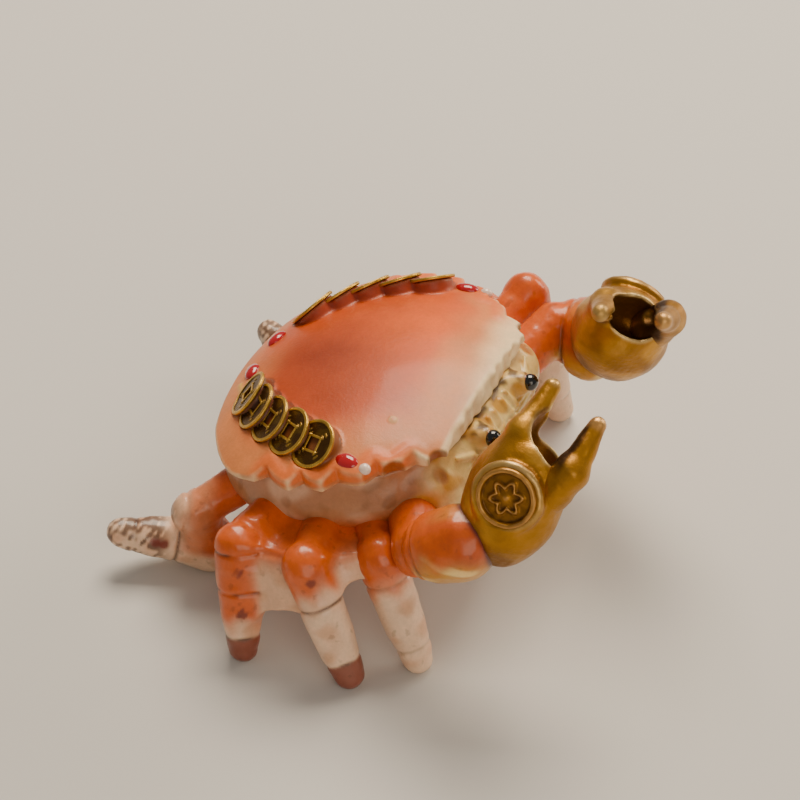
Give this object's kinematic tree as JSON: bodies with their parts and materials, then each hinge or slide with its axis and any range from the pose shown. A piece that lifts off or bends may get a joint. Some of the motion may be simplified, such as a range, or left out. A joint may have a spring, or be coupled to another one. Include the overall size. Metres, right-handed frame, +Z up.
{
  "type": "crab figurine",
  "caption": "Small cast resin crab ornament with a domed coral shell, gold claws, rows of square-holed coins and bead eyes",
  "frame": {"origin": "middle of the overall outline on the ground the feet stand on", "axes": "+Z up, the crab faces -Y, its right side is -X"},
  "size_m": [0.0766, 0.0744, 0.046],
  "materials": {
    "coral_shell": "coral resin shading to cream at the front, satin gloss",
    "pale_resin": "translucent greyish cream resin",
    "limb_resin": "orange resin fading to cream with brown toes",
    "gold_paint": "ochre gold paint with brown shading",
    "aged_brass": "dark aged field with bright rims",
    "red_enamel": "glossy",
    "pearl": "pearly",
    "stalk_brown": "red-brown resin",
    "black_bead": "polished black"
  },
  "bodies": {
    "root": {"belly_casting": "pale_resin", "carapace": "coral_shell", "coin_left_1": "aged_brass", "coin_left_2": "aged_brass", "coin_left_3": "aged_brass", "coin_left_4": "aged_brass", "coin_left_5": "aged_brass", "coin_right_1": "aged_brass", "coin_right_2": "aged_brass", "coin_right_3": "aged_brass", "coin_right_4": "aged_brass", "coin_right_5": "aged_brass", "left_arm": "limb_resin", "left_claw": "gold_paint", "left_claw_finger": "gold_paint", "left_claw_medallion": "gold_paint", "left_eye": "black_bead", "left_eye_stalk": "stalk_brown", "left_leg_1": "limb_resin", "left_leg_2": "limb_resin", "left_leg_3": "limb_resin", "left_leg_4": "limb_resin", "pearl_tip_left": "pearl", "pearl_tip_right": "pearl", "red_drop_left_front": "red_enamel", "red_drop_left_rear": "red_enamel", "red_drop_right_front": "red_enamel", "red_drop_right_rear": "red_enamel", "right_arm": "limb_resin", "right_claw": "gold_paint", "right_claw_finger": "gold_paint", "right_claw_medallion": "gold_paint", "right_eye": "black_bead", "right_eye_stalk": "stalk_brown", "right_leg_1": "limb_resin", "right_leg_2": "limb_resin", "right_leg_3": "limb_resin", "right_leg_4": "limb_resin"}
  },
  "joints": []
}
